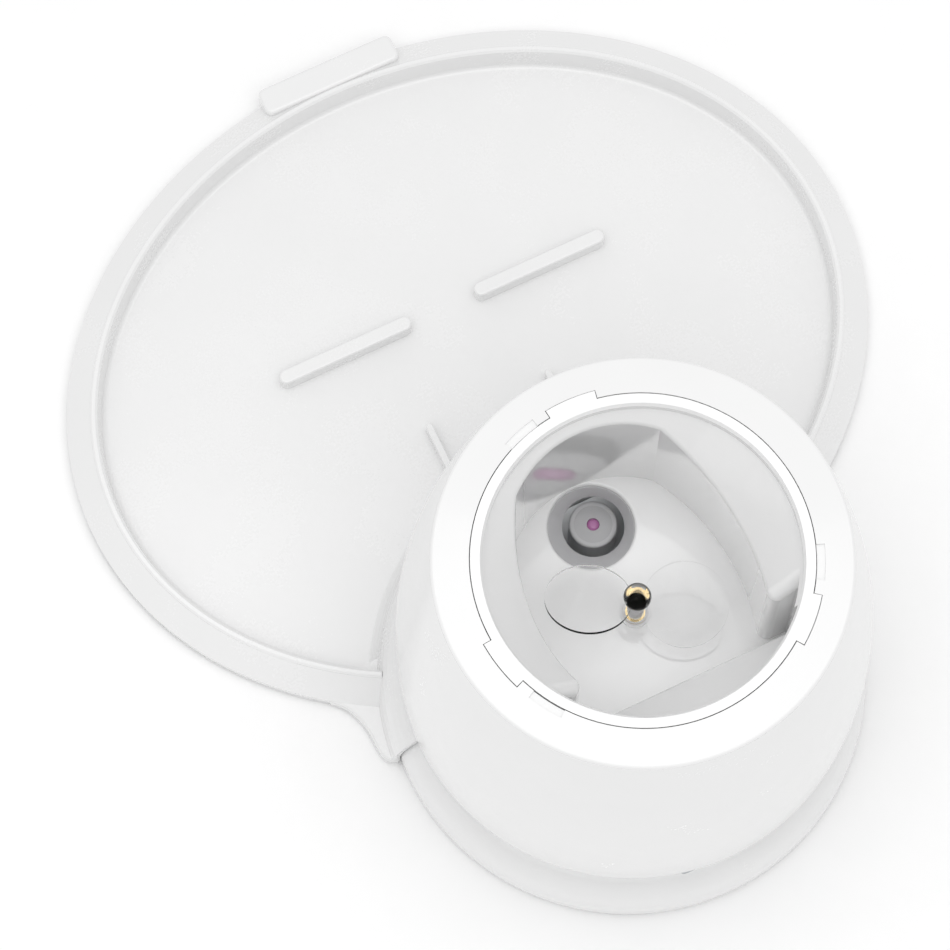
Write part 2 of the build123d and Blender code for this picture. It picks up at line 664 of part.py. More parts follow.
with BuildPart() as motor_can:
    with BuildSketch(level(DECK_Z)):
        with Locations((0, MOTOR_Y)):
            Circle(MOTOR_R)
    extrude(amount=-MOTOR_LENGTH)
    fillet(motor_can.faces().sort_by(Axis.Z)[0].edges(), 1.5)
    with BuildSketch(level(DECK_Z)):
        with Locations((0, MOTOR_Y)):
            Circle(4)
    extrude(amount=DECK_T)
    with BuildSketch(level(DECK_Z + DECK_T)):
        with Locations((0, MOTOR_Y)):
            Circle(MOTOR_SHAFT_R + RUN_FIT)
    extrude(amount=-15, mode=Mode.SUBTRACT)
save(motor_can, "motor_can")

with BuildPart() as motor_shaft:
    with BuildSketch(level(DECK_Z - 11)):
        with Locations((0, MOTOR_Y)):
            Circle(MOTOR_SHAFT_R)
    extrude(amount=WHEEL_Z + WHEEL_T + 1 - DECK_Z + 11)
save(motor_shaft, "motor_shaft")

motor_outline = gear_face(MOTOR_TEETH, WHEEL_MODULE, 0)
with BuildPart() as motor_pinion:
    with BuildSketch(level(WHEEL_Z)):
        with Locations((0, MOTOR_Y)):
            add(motor_outline)
            Circle(MOTOR_SHAFT_R, mode=Mode.SUBTRACT)
    extrude(amount=WHEEL_T)
save(motor_pinion, "motor_pinion")

# ---------------------------------------------------------------- throat, chute and sensor

with BuildPart() as drop_throat:
    with BuildSketch(level(CHUTE_TOP_Z)):
        with Locations((0, HOLE_Y)):
            Circle(HOLE_R + 3)
    extrude(amount=FLOOR_Z - FLOOR_T - GAP - CHUTE_TOP_Z)
    with BuildSketch(level(THROAT_END[2])):
        with Locations((0, HOLE_Y)):
            Circle(HOLE_R + 0.8)
    extrude(amount=CHUTE_TOP_Z - THROAT_END[2])
    # slanting funnel, wide at the floor and narrow below
    with BuildSketch(level(FLOOR_Z - FLOOR_T - GAP)):
        with Locations((0, HOLE_Y)):
            Circle(HOLE_R - 0.2)
    with BuildSketch(level(THROAT_END[2])):
        with Locations(THROAT_END[:2]):
            Circle(THROAT_END_R)
    loft(mode=Mode.SUBTRACT)
save(drop_throat, "drop_throat")

# side profile of the food way through the chute
with BuildSketch() as chute_way:
    with BuildLine():
        Polyline((CHUTE_BACK_Y, CHUTE_TOP_Z + 1), (CHUTE_BACK_Y, 86), (-86, SPOUT_Z + 3),
                 (SPOUT_Y - 1, SPOUT_Z), (SPOUT_Y - 1, 45.6), (CHUTE_ROOF_Y, 45.6), (CHUTE_FRONT_Y, 80),
                 (CHUTE_FRONT_Y, CHUTE_TOP_Z + 1), close=True)
    make_face()

with BuildPart() as chute:
    with BuildSketch(side):
        with BuildLine():
            Polyline((CHUTE_BACK_Y + CHUTE_WALL, CHUTE_TOP_Z), (CHUTE_BACK_Y + CHUTE_WALL, 85),
                     (-85.5, SPOUT_Z + 0.3), (SPOUT_Y, SPOUT_Z - CHUTE_WALL), (SPOUT_Y, 21),
                     (-89, 26), (-89, 47.6), (CHUTE_ROOF_Y - 1, 47.6), (CHUTE_FRONT_Y - CHUTE_WALL, 81),
                     (CHUTE_FRONT_Y - CHUTE_WALL, CHUTE_TOP_Z), close=True)
        make_face()
    extrude(amount=CHUTE_HALF + CHUTE_WALL, both=True)
    with BuildSketch(side):
        add(chute_way.sketch)
    extrude(amount=CHUTE_HALF, both=True, mode=Mode.SUBTRACT)
save(chute, "chute")

with BuildPart() as sensor_pod:
    with BuildSketch(level(POD_TOP_Z)):
        with Locations(POD_AT):
            Circle(POD_R)
    extrude(amount=-34)
    fillet(sensor_pod.faces().sort_by(Axis.Z)[-1].edges(), 1.0)
    with BuildSketch(side):
        Polygon((CHUTE_BACK_Y, 86), (-86, SPOUT_Z + 3), (-86, 0), (CHUTE_BACK_Y, 0), align=None)
    extrude(amount=CHUTE_HALF, both=True, mode=Mode.SUBTRACT)
    with BuildSketch(level(POD_TOP_Z)):
        with Locations(POD_AT):
            Circle(POD_R - 2)
    extrude(amount=-5, mode=Mode.SUBTRACT)
save(sensor_pod, "sensor_pod")

with BuildPart() as sensor_window:
    with BuildSketch(level(POD_TOP_Z - 0.3)):
        with Locations(POD_AT):
            Circle(POD_R - 2)
            Circle(2.6, mode=Mode.SUBTRACT)
    extrude(amount=-1.5)
save(sensor_window, "sensor_window")

with BuildPart() as ir_emitter:
    with BuildSketch(level(POD_TOP_Z - 5)):
        with Locations(POD_AT):
            Circle(2.5)
    extrude(amount=5.2)
    fillet(ir_emitter.faces().sort_by(Axis.Z)[-1].edges(), 1.6)
save(ir_emitter, "ir_emitter")

# ---------------------------------------------------------------- electrics

with BuildPart() as battery_bay:
    with BuildSketch(level(PLATE_Z + PLATE_T)):
        with Locations((0, sum(BAY_Y) / 2)):
            Rectangle(2 * BAY_HALF, BAY_Y[1] - BAY_Y[0])
    extrude(amount=BAY_TOP_Z - PLATE_Z - PLATE_T)
    with BuildSketch(level(PLATE_Z + PLATE_T)):
        with Locations((0, sum(BAY_Y) / 2)):
            Rectangle(2 * BAY_HALF - 3, BAY_Y[1] - BAY_Y[0] - 0.6)
    extrude(amount=BAY_TOP_Z - PLATE_Z - PLATE_T - 1.5, mode=Mode.SUBTRACT)
    with BuildSketch(level(BAY_TOP_Z)):
        with Locations(*[(x, y) for x in (-24, 24) for y in (20, 58)]):
            Circle(2.5)
    extrude(amount=BOARD_Z - BAY_TOP_Z)
save(battery_bay, "battery_bay")

CELL_Y = sum(BAY_Y) / 2 - CELL_LENGTH / 2
CELL_XS = [CELL_PITCH * (index - 1.5) for index in range(4)]
CELL_Z = BAY_TOP_Z - 2 - CELL_R

with BuildPart() as battery_cells:
    with BuildSketch(across(CELL_Y + CELL_LENGTH)):
        with Locations(*[(x, CELL_Z) for x in CELL_XS]):
            Circle(CELL_R)
    extrude(amount=CELL_LENGTH - 1)
    with BuildSketch(across(CELL_Y + 1)):
        with Locations(*[(x, CELL_Z) for x in CELL_XS]):
            Circle(2.6)
    extrude(amount=1)
save(battery_cells, "battery_cells")

with BuildPart() as battery_contacts:
    for y in (CELL_Y, CELL_Y + CELL_LENGTH + 0.5):
        with BuildSketch(across(y)):
            with Locations(*[(x, CELL_Z) for x in CELL_XS]):
                Rectangle(9, 10)
        extrude(amount=0.5)
save(battery_contacts, "battery_contacts")

with BuildPart() as battery_door:
    with BuildSketch(level(PLATE_Z)):
        with Locations((0, sum(BAY_Y) / 2)):
            Rectangle(2 * (BAY_HALF - GAP), BAY_Y[1] - BAY_Y[0] - 2 * GAP)
    extrude(amount=PLATE_T - 0.4)
    # finger grooves
    with BuildSketch(level(PLATE_Z)):
        with Locations(*[(0, BAY_Y[1] - 8 - 3 * index) for index in range(3)]):
            SlotOverall(18, 1.4)
    extrude(amount=0.8, mode=Mode.SUBTRACT)
save(battery_door, "battery_door")

with BuildPart() as control_board:
    with BuildSketch(level(BOARD_Z)):
        with Locations((0, sum(BOARD_Y) / 2)):
            RectangleRounded(2 * BOARD_HALF, BOARD_Y[1] - BOARD_Y[0], 3)
    extrude(amount=BOARD_T)
save(control_board, "control_board")

with BuildPart() as board_parts:
    with BuildSketch(level(BOARD_Z + BOARD_T)):
        with Locations((-14, 24)):
            Rectangle(12, 12)
        with Locations((12, 22)):
            Rectangle(14, 8)
        with Locations((20, 36)):
            Rectangle(7, 10)
    extrude(amount=2.2)
    with BuildSketch(level(BOARD_Z + BOARD_T)):
        with Locations((-21, 40), (-21, 52)):
            Circle(4)
    extrude(amount=9)
save(board_parts, "board_parts")

with BuildPart() as dc_socket:
    with BuildSketch(level(BOARD_Z + BOARD_T)):
        with Locations((SOCKET_X, 70)):
            Rectangle(10, 14)
    extrude(amount=2 * (PORT_Z - BOARD_Z - BOARD_T))
    with BuildSketch(across(77)):
        with Locations((SOCKET_X, PORT_Z)):
            Circle(4.8)
    extrude(amount=-9.2)
    with BuildSketch(across(86.2)):
        with Locations((SOCKET_X, PORT_Z)):
            Circle(2.8)
            Circle(1.0, mode=Mode.SUBTRACT)
    extrude(amount=9, mode=Mode.SUBTRACT)
save(dc_socket, "dc_socket")

with BuildPart() as power_button:
    with BuildSketch(across(89.5)):
        with Locations((BUTTON_X, PORT_Z)):
            Circle(BUTTON_R)
    extrude(amount=8.5)
    fillet(power_button.faces().sort_by(Axis.Y)[-1].edges(), 0.8)
    with BuildSketch(across(82.6)):
        with Locations((BUTTON_X, PORT_Z)):
            Circle(BUTTON_R + 1.6)
    extrude(amount=1.6)
save(power_button, "power_button")

with BuildPart() as button_switch:
    with BuildSketch(level(BOARD_Z + BOARD_T)):
        with Locations((BUTTON_X, 71.5)):
            Rectangle(7, 9)
    extrude(amount=2 * (PORT_Z - BOARD_Z - BOARD_T) - 3)
    with BuildSketch(across(76)):
        with Locations((BUTTON_X, PORT_Z)):
            Circle(1.6)
    extrude(amount=-2.2)
save(button_switch, "button_switch")

# ---------------------------------------------------------------- tray

tray_axis_y = HOPPER_Y + TRAY_CENTRE_Y


def tray_level(z):
    """Horizontal plane at height z, centred on the tray's oval."""
    return Plane(origin=(0, tray_axis_y, z))


def oval_block(z_low, inset_low, z_high, inset_high):
    """Solid between two of the tray's ovals, each inset from its outline."""
    with BuildPart(mode=Mode.PRIVATE) as block:
        with BuildSketch(tray_level(z_low)):
            Ellipse(TRAY_HALF_X - inset_low, TRAY_HALF_Y - inset_low)
        with BuildSketch(tray_level(z_high)):
            Ellipse(TRAY_HALF_X - inset_high, TRAY_HALF_Y - inset_high)
        loft(ruled=True)
    return block.part


rim_slope = oval_block(RIM_EDGE_Z, 0, BEAD_FOOT_Z, BEAD_INSET)
rim_skirt = oval_block(TRAY_SKIRT_Z, 0.5, RIM_EDGE_Z, 0)
bead_shoulder_z = TRAY_RIM_TOP_Z - BEAD_EASE
rim_bead = oval_block(BEAD_FOOT_Z - 1, BEAD_INSET, bead_shoulder_z, BEAD_INSET + 0.1)
rim_bead += oval_block(bead_shoulder_z, BEAD_INSET + 0.1, TRAY_RIM_TOP_Z, BEAD_INSET + BEAD_EASE)
dish_lip = oval_block(bead_shoulder_z, DISH_LIP_INSET, TRAY_RIM_TOP_Z, DISH_LIP_INSET - BEAD_EASE)
dish_space = oval_block(TRAY_FLOOR_Z, DISH_INSET, bead_shoulder_z, DISH_LIP_INSET)
dish_space = dish_space.fillet(DISH_ROUND, dish_space.edges().group_by(Axis.Z)[0])
floor_low_z = TRAY_FLOOR_Z - TRAY_FLOOR_T
dish_core = oval_block(floor_low_z, DISH_INSET - TRAY_WALL, TRAY_RIM_TOP_Z, DISH_LIP_INSET - TRAY_WALL)
rim_hollow = oval_block(floor_low_z, TRAY_WALL, RIM_EDGE_Z - TRAY_WALL, TRAY_WALL)
rim_hollow += oval_block(RIM_EDGE_Z - TRAY_WALL, TRAY_WALL, BEAD_FOOT_Z - TRAY_WALL, BEAD_INSET + TRAY_WALL)
floor_clearance = oval_block(TRAY_SKIRT_Z, TRAY_WALL, floor_low_z, TRAY_WALL)

# the ears are the tray's two tips, which reach back along the base drum
with BuildSketch() as ear_plan:
    with BuildLine():
        Spline(EAR_ROOT, (109.1, -33.7), EAR_WAIST, (105.8, -12.1), EAR_END)
        Polyline(EAR_END, (NECK_R - 5, EAR_END[1]), (NECK_R - 5, EAR_ROOT[1] - 8),
                 (EAR_ROOT[0], EAR_ROOT[1] - 8), EAR_ROOT)
    make_face()
    mirror(about=Plane.YZ)

with BuildPart() as tray_ears:
    with BuildSketch(level(TRAY_SKIRT_Z)):
        add(ear_plan.sketch)
    extrude(amount=RIM_EDGE_Z - TRAY_SKIRT_Z)
    ear_corners = tray_ears.edges().filter_by(Axis.Z).group_by(Axis.Y)[-1]
    fillet(ear_corners.group_by(lambda edge: abs(edge.center().X))[-1], 2 * EDGE_ROUND)
    ear_rims = tray_ears.edges().group_by(Axis.Z)[-1]
    fillet(ear_rims.filter_by(GeomType.LINE, reverse=True), EDGE_ROUND)

# plan of the whole tray, less the circle behind the saddle's inner edge
with BuildPart() as tray_column:
    with BuildSketch(tray_level(TRAY_SKIRT_Z)):
        Ellipse(TRAY_HALF_X - BEAD_INSET - 1.5, TRAY_HALF_Y - BEAD_INSET - 1.5)
    extrude(amount=SADDLE_TOP_Z)
    with BuildSketch(level(TRAY_SKIRT_Z)):
        add(ear_plan.sketch)
    extrude(amount=SADDLE_TOP_Z)
    with BuildSketch(level(TRAY_SKIRT_Z)):
        with Locations((0, EAR_END[1] - EDGE_ROUND / 2)):
            Rectangle(3 * BASE_R, BASE_R, align=(Align.CENTER, Align.MIN))
    extrude(amount=SADDLE_TOP_Z, mode=Mode.SUBTRACT)

# space that the base drum takes up under the saddle
with BuildPart() as drum_space:
    with BuildSketch(section):
        with BuildLine():
            Polyline((0, 0), (SADDLE_R, 0), (SADDLE_R, SKIRT_STEP_Z))
            ThreePointArc((SADDLE_R, SKIRT_STEP_Z), (97.3, 17.7), (SADDLE_TOP_R, SADDLE_LOW_Z))
            Polyline((SADDLE_TOP_R, SADDLE_LOW_Z), (SADDLE_TOP_R, SADDLE_TOP_Z + 5),
                     (0, SADDLE_TOP_Z + 5), (0, 0))
        make_face()
    revolve(axis=hopper_axis)

# saddle that lies over the base's skirt and runs down into the dish floor
with BuildPart() as tray_saddle:
    with BuildSketch(section):
        with BuildLine():
            Polyline((SADDLE_FOOT_R, SADDLE_FOOT_Z), (SADDLE_FOOT_R, floor_low_z + 0.5),
                     (NECK_R, floor_low_z + 0.5), (NECK_R, SADDLE_TOP_Z),
                     (SADDLE_TOP_R + 1, SADDLE_TOP_Z), (94.3, 23.9), (97.0, 22.2), (99.4, 19.9),
                     (101.2, 17.1), (102.5, 13.8), (103.2, 10.2), (104.0, 7.6), (105.2, 5.7),
                     (106.7, 4.4), (SADDLE_FOOT_R, SADDLE_FOOT_Z))
        make_face()
    revolve(axis=hopper_axis)
    add(tray_column.part, mode=Mode.INTERSECT)
    add(drum_space.part, mode=Mode.SUBTRACT)

with BuildPart() as tray_pads:
    with BuildSketch(level(TRAY_FLOOR_Z - 1)):
        with Locations((-PAD_X, PAD_Y), (PAD_X, PAD_Y)):
            SlotOverall(PAD_LENGTH, PAD_WIDTH)
    extrude(amount=PAD_HEIGHT + 1)
    fillet(tray_pads.edges().group_by(Axis.Z)[-1], PAD_ROUND)

with BuildPart() as tray_tab:
    with BuildSketch(level(TAB_LOW_Z)):
        with Locations((0, FRONT_Y + TAB_DEPTH / 2)):
            RectangleRounded(2 * TAB_HALF, TAB_DEPTH, 3)
    extrude(amount=TRAY_RIM_TOP_Z - TAB_LOW_Z)
    fillet(tray_tab.edges().group_by(Axis.Z)[-1], TAB_ROUND)

with BuildPart() as tray_ribs:
    with BuildSketch(level(TRAY_FLOOR_Z - 1)):
        with Locations((-RIB_X, sum(RIB_Y) / 2), (RIB_X, sum(RIB_Y) / 2)):
            SlotOverall(RIB_Y[1] - RIB_Y[0], RIB_W, rotation=90)
    extrude(amount=RIB_HEIGHT + 1)
    fillet(tray_ribs.edges().group_by(Axis.Z)[-1], EDGE_ROUND / 2)

with BuildPart() as tray:
    add(rim_skirt)
    add(rim_slope)
    add(rim_bead)
    add(dish_space, mode=Mode.SUBTRACT)
    add(dish_lip, mode=Mode.SUBTRACT)
    add(rim_hollow - dish_core, mode=Mode.SUBTRACT)
    add(floor_clearance, mode=Mode.SUBTRACT)
    add(tray_tab.part)
    add(tray_ears.part)
    with BuildSketch(level(0)):
        Circle(SADDLE_R + EDGE_ROUND)
    extrude(amount=SADDLE_TOP_Z, mode=Mode.SUBTRACT)
    add(tray_saddle.part)
    # low sill under the spout
    with BuildSketch(level(SILL_Z)):
        with Locations((0, -SADDLE_R)):
            Rectangle(2 * (RIB_X - RIB_W / 2), 40)
    extrude(amount=TRAY_RIM_TOP_Z, mode=Mode.SUBTRACT)
    add(tray_ribs.part)
    add(tray_pads.part)
save(tray, "tray")

with BuildPart() as tray_feet:
    with BuildSketch(tray_level(0)):
        with GridLocations(2 * TRAY_FOOT_X, 2 * TRAY_FOOT_Y, 2, 2):
            Circle(FOOT_R - 1)
    extrude(amount=TRAY_FLOOR_Z - TRAY_FLOOR_T)
    chamfer(tray_feet.faces().sort_by(Axis.Z)[:4].edges(), 0.5)
save(tray_feet, "tray_feet")
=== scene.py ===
import math

import bmesh
import bpy
from mathutils import Matrix, Vector


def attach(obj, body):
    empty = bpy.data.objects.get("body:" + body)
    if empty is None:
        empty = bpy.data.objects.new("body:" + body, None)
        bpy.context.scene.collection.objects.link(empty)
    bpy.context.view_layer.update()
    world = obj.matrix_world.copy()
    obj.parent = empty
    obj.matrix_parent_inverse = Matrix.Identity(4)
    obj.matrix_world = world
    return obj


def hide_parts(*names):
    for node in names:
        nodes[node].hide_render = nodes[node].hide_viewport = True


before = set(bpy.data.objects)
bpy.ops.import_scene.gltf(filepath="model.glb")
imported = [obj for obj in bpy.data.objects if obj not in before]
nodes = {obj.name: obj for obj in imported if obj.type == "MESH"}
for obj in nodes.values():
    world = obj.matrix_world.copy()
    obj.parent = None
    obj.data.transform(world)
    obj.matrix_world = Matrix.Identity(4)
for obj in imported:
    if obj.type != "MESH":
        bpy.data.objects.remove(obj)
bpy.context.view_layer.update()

# Looks of the automatic pet feeder. Metres, +Z up, the tray towards -Y. Places and sizes
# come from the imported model's nodes, and the moving pieces ride on its bodies.

MM = 0.001

# ---------------------------------------------------------------- camera, floor and light

LENS = 159.16                          # mm, on a 36 mm sensor
AZIMUTH = math.radians(154.5)
ELEVATION = math.radians(73.8)
AIM = Vector((0.0184, -0.0077, 0.0))   # where the optical axis meets the floor
DISTANCE = 1.7859
SENSOR_WIDTH = 36.0
FLOOR_HALF = 12.0
SURROUND_STRENGTH = 0.78
OVERHEAD_PLACE = (0.1, 0.2, 1.6)
OVERHEAD_SIZE = 1.4
OVERHEAD_POWER = 9.0


def direction(azimuth, elevation):
    """Unit vector from the object towards a viewer at that azimuth and elevation."""
    return Vector((math.sin(azimuth) * math.cos(elevation),
                   -math.cos(azimuth) * math.cos(elevation),
                   math.sin(elevation)))


def link(thing):
    """Put a new object in the scene."""
    bpy.context.scene.collection.objects.link(thing)
    return thing


def make_camera():
    """The camera that looks down on the feeder from behind its right side."""
    data = bpy.data.cameras.new("camera")
    data.lens = LENS
    data.sensor_width = SENSOR_WIDTH
    camera = link(bpy.data.objects.new("camera", data))
    back = direction(AZIMUTH, ELEVATION)
    camera.location = AIM + back * DISTANCE
    camera.rotation_mode = "QUATERNION"
    camera.rotation_quaternion = (-back).to_track_quat("-Z", "Y")
    data.clip_start = 0.05
    data.clip_end = 50
    bpy.context.scene.camera = camera


def soft_box(name, place, size, power):
    """Square studio light aimed at the feeder."""
    data = bpy.data.lights.new(name, "AREA")
    data.shape = "SQUARE"
    data.size = size
    data.energy = power
    lamp = link(bpy.data.objects.new(name, data))
    lamp.location = Vector(place)
    lamp.rotation_mode = "QUATERNION"
    lamp.rotation_quaternion = (-Vector(place)).to_track_quat("-Z", "Y")


def make_world(strength):
    """Even white surroundings."""
    world = bpy.data.worlds.new("studio")
    world.use_nodes = True
    background = world.node_tree.nodes["Background"]
    background.inputs["Color"].default_value = (1.0, 1.0, 1.0, 1.0)
    background.inputs["Strength"].default_value = strength
    bpy.context.scene.world = world


def make_floor(material):
    """Plain pale floor, wide enough to fill every view."""
    mesh = bpy.data.meshes.new("floor")
    half = FLOOR_HALF
    mesh.from_pydata([(-half, -half, 0), (half, -half, 0), (half, half, 0), (-half, half, 0)],
                     [], [(0, 1, 2, 3)])
    floor = link(bpy.data.objects.new("floor", mesh))
    floor.data.materials.append(material)


# ---------------------------------------------------------------- materials

class Surface:
    """A node material with object-space noise to vary its colour, roughness and bump."""

    def __init__(self, name):
        self.material = bpy.data.materials.new(name)
        self.material.use_nodes = True
        self.tree = self.material.node_tree
        self.shader = self.tree.nodes["Principled BSDF"]
        self.coordinates = self.tree.nodes.new("ShaderNodeTexCoord").outputs["Object"]

    def constant(self, socket, value):
        self.shader.inputs[socket].default_value = value

    def noise(self, scale, detail=3.0, stretch=None):
        """Noise with features of about 1/scale metres."""
        node = self.tree.nodes.new("ShaderNodeTexNoise")
        node.inputs["Scale"].default_value = scale
        node.inputs["Detail"].default_value = detail
        source = self.coordinates
        if stretch:
            mapping = self.tree.nodes.new("ShaderNodeMapping")
            mapping.inputs["Scale"].default_value = stretch
            self.tree.links.new(source, mapping.inputs["Vector"])
            source = mapping.outputs["Vector"]
        self.tree.links.new(source, node.inputs["Vector"])
        return node.outputs["Fac"]

    def spread(self, value, low, high, start=0.3, end=0.7):
        """Map a noise value on to the range low to high."""
        node = self.tree.nodes.new("ShaderNodeMapRange")
        node.inputs["From Min"].default_value = start
        node.inputs["From Max"].default_value = end
        node.inputs["To Min"].default_value = low
        node.inputs["To Max"].default_value = high
        self.tree.links.new(value, node.inputs["Value"])
        return node.outputs["Result"]

    def add(self, first, second):
        node = self.tree.nodes.new("ShaderNodeMath")
        node.operation = "ADD"
        self.tree.links.new(first, node.inputs[0])
        self.tree.links.new(second, node.inputs[1])
        return node.outputs["Value"]

    def colours(self, factor, first, second):
        """Colour that runs from first to second as the factor goes from 0 to 1."""
        node = self.tree.nodes.new("ShaderNodeMix")
        node.data_type = "RGBA"
        node.inputs[6].default_value = (*first, 1.0)
        node.inputs[7].default_value = (*second, 1.0)
        self.tree.links.new(factor, node.inputs[0])
        return node.outputs[2]

    def drive(self, socket, value):
        self.tree.links.new(value, self.shader.inputs[socket])

    def bump(self, height, depth, strength=1.0):
        """Bump of that depth in metres."""
        node = self.tree.nodes.new("ShaderNodeBump")
        node.inputs["Strength"].default_value = strength
        node.inputs["Distance"].default_value = depth
        self.tree.links.new(height, node.inputs["Height"])
        self.tree.links.new(node.outputs["Normal"], self.shader.inputs["Normal"])


def shade(colour, factor):
    """The colour made darker or lighter."""
    return tuple(min(1.0, channel * factor) for channel in colour)


def moulded(name, colour, roughness, grain=0.000006, grain_scale=900.0, mottle=0.985, coat=0.0):
    """Injection-moulded plastic: faint flow mottling, uneven gloss and a fine skin."""
    surface = Surface(name)
    broad = surface.noise(26.0)
    fine = surface.noise(grain_scale)
    surface.drive("Base Color", surface.colours(surface.spread(broad, 0.0, 1.0),
                                                shade(colour, mottle), colour))
    uneven = surface.spread(broad, -0.02, 0.03)
    skin = surface.spread(fine, roughness - 0.01, roughness + 0.01)
    surface.drive("Roughness", surface.add(skin, uneven))
    surface.constant("IOR", 1.5)
    surface.constant("Coat Weight", coat)
    surface.constant("Coat Roughness", 0.08)
    surface.bump(fine, grain)
    return surface.material


def clear(name, tint, ior):
    """Clear moulded plastic with a very faint skin."""
    surface = Surface(name)
    fine = surface.noise(320.0)
    surface.constant("Base Color", (*tint, 1.0))
    surface.constant("Transmission Weight", 1.0)
    surface.constant("IOR", ior)
    surface.drive("Roughness", surface.spread(fine, 0.0, 0.03))
    surface.bump(fine, 0.00001)
    return surface.material


def metal(name, colour, roughness, stretch=(1.0, 1.0, 40.0)):
    """Drawn or turned metal with fine tool marks."""
    surface = Surface(name)
    marks = surface.noise(300.0, 4.0, stretch)
    surface.drive("Base Color", surface.colours(surface.spread(marks, 0.0, 1.0), shade(colour, 0.85), colour))
    surface.constant("Metallic", 1.0)
    surface.drive("Roughness", surface.spread(marks, roughness - 0.08, roughness + 0.08))
    surface.bump(marks, 0.00002)
    return surface.material


def glow(name, colour, strength):
    """Emitter behind a domed lens."""
    surface = Surface(name)
    fine = surface.noise(600.0)
    surface.drive("Base Color", surface.colours(fine, shade(colour, 0.9), colour))
    surface.constant("Emission Color", (*colour, 1.0))
    surface.constant("Emission Strength", strength)
    surface.drive("Roughness", surface.spread(fine, 0.18, 0.3))
    return surface.material


def floor_paper(name):
    """Seamless studio paper."""
    surface = Surface(name)
    grain = surface.noise(40.0)
    surface.drive("Base Color", surface.colours(grain, (0.96, 0.96, 0.96), (0.985, 0.985, 0.985)))
    surface.constant("Roughness", 0.9)
    surface.constant("Specular IOR Level", 0.1)
    return surface.material


WHITE = (0.845, 0.845, 0.845)

white_shell = moulded("white_shell", WHITE, 0.24, coat=0.3)
white_insert = moulded("white_insert", WHITE, 0.09, grain=0.000002, coat=1.0)
white_tray = moulded("white_tray", WHITE, 0.26, coat=0.3)
inner_plastic = moulded("inner_plastic", (0.72, 0.73, 0.74), 0.42, grain=0.00004)
chute_white = moulded("chute_white", (0.8, 0.81, 0.82), 0.34)
# Drop throat: light grey, darker than the white shell; the darkening is painted shade for the inside of the
# deep tube.
throat_grey = moulded("throat_grey", (0.7, 0.7, 0.71), 0.45, grain=0.00004)
pod_grey = moulded("pod_grey", (0.76, 0.76, 0.77), 0.42)
window_grey = moulded("window_grey", (0.66, 0.66, 0.67), 0.2)
black_plastic = moulded("black_plastic", (0.02, 0.02, 0.022), 0.4, grain=0.00004, mottle=0.8)
button_grey = moulded("button_grey", (0.4, 0.42, 0.44), 0.45)
gear_plastic = moulded("gear_plastic", (0.82, 0.79, 0.68), 0.38)
foot_rubber = moulded("foot_rubber", (0.05, 0.05, 0.052), 0.78, grain=0.00012, grain_scale=700.0, mottle=0.8)
seal_rubber = moulded("seal_rubber", (0.03, 0.03, 0.032), 0.7, grain=0.0001, grain_scale=900.0, mottle=0.8)
cell_wrap = moulded("cell_wrap", (0.03, 0.05, 0.07), 0.22, mottle=0.85, coat=0.5)
board_green = moulded("board_green", (0.02, 0.13, 0.05), 0.35, mottle=0.8, coat=0.3)
steel = metal("steel", (0.66, 0.66, 0.68), 0.28)
brass = metal("brass", (0.78, 0.6, 0.3), 0.28)
clear_rotor = clear("clear_rotor", (1.0, 1.0, 1.0), 1.36)
clear_knob = clear("clear_knob", (1.0, 1.0, 1.0), 1.2)
ir_pink = glow("ir_pink", (0.55, 0.22, 0.46), 0.12)

FINISH = {
    "base_shell": white_shell, "bottom_plate": white_shell, "battery_door": white_shell,
    "body_shell": white_shell, "top_collar": white_shell, "hopper_insert": white_insert,
    "tray": white_tray, "base_feet": foot_rubber, "tray_feet": foot_rubber,
    "plate_screws": steel, "body_screws": steel, "cover_screws": steel,
    "hopper_seal": seal_rubber, "shaft_bush": brass, "rotor_paddle": clear_rotor,
    "rotor_knob": clear_knob, "rotor_spindle": steel, "rotor_coupler": black_plastic,
    "gear_deck": inner_plastic, "gear_cover": inner_plastic, "output_gear": gear_plastic,
    "output_shaft": steel, "drive_dog": black_plastic, "idler_gear": gear_plastic,
    "idler_axle": steel, "motor_can": steel, "motor_shaft": steel, "motor_pinion": brass,
    "drop_throat": throat_grey, "chute": chute_white, "sensor_pod": pod_grey,
    "sensor_window": window_grey, "ir_emitter": ir_pink, "battery_bay": inner_plastic,
    "battery_cells": cell_wrap, "battery_contacts": steel, "control_board": board_green,
    "board_parts": black_plastic, "dc_socket": black_plastic, "power_button": button_grey,
    "button_switch": black_plastic,
}


def finish_nodes():
    """Give every CAD node its finish."""
    for name, material in FINISH.items():
        nodes[name].data.materials.clear()
        nodes[name].data.materials.append(material)


# ---------------------------------------------------------------- turned detail pieces

TURNED_STEPS = 48
CREASE = math.radians(40)
WELD = 0.00001             # metres
HEAD_ONLY = 3 * MM         # a lump lower than this is a head without a shank
PAN_HEIGHT = 1.6 * MM
SHANK_R = 1.35 * MM
THREAD_PITCH = 1.0 * MM
THREAD_ROOT = 0.78         # share of the shank's radius
RECESS_DEPTH = 0.9 * MM
CENTRE = 0.02              # share of the radius at which a turned end closes


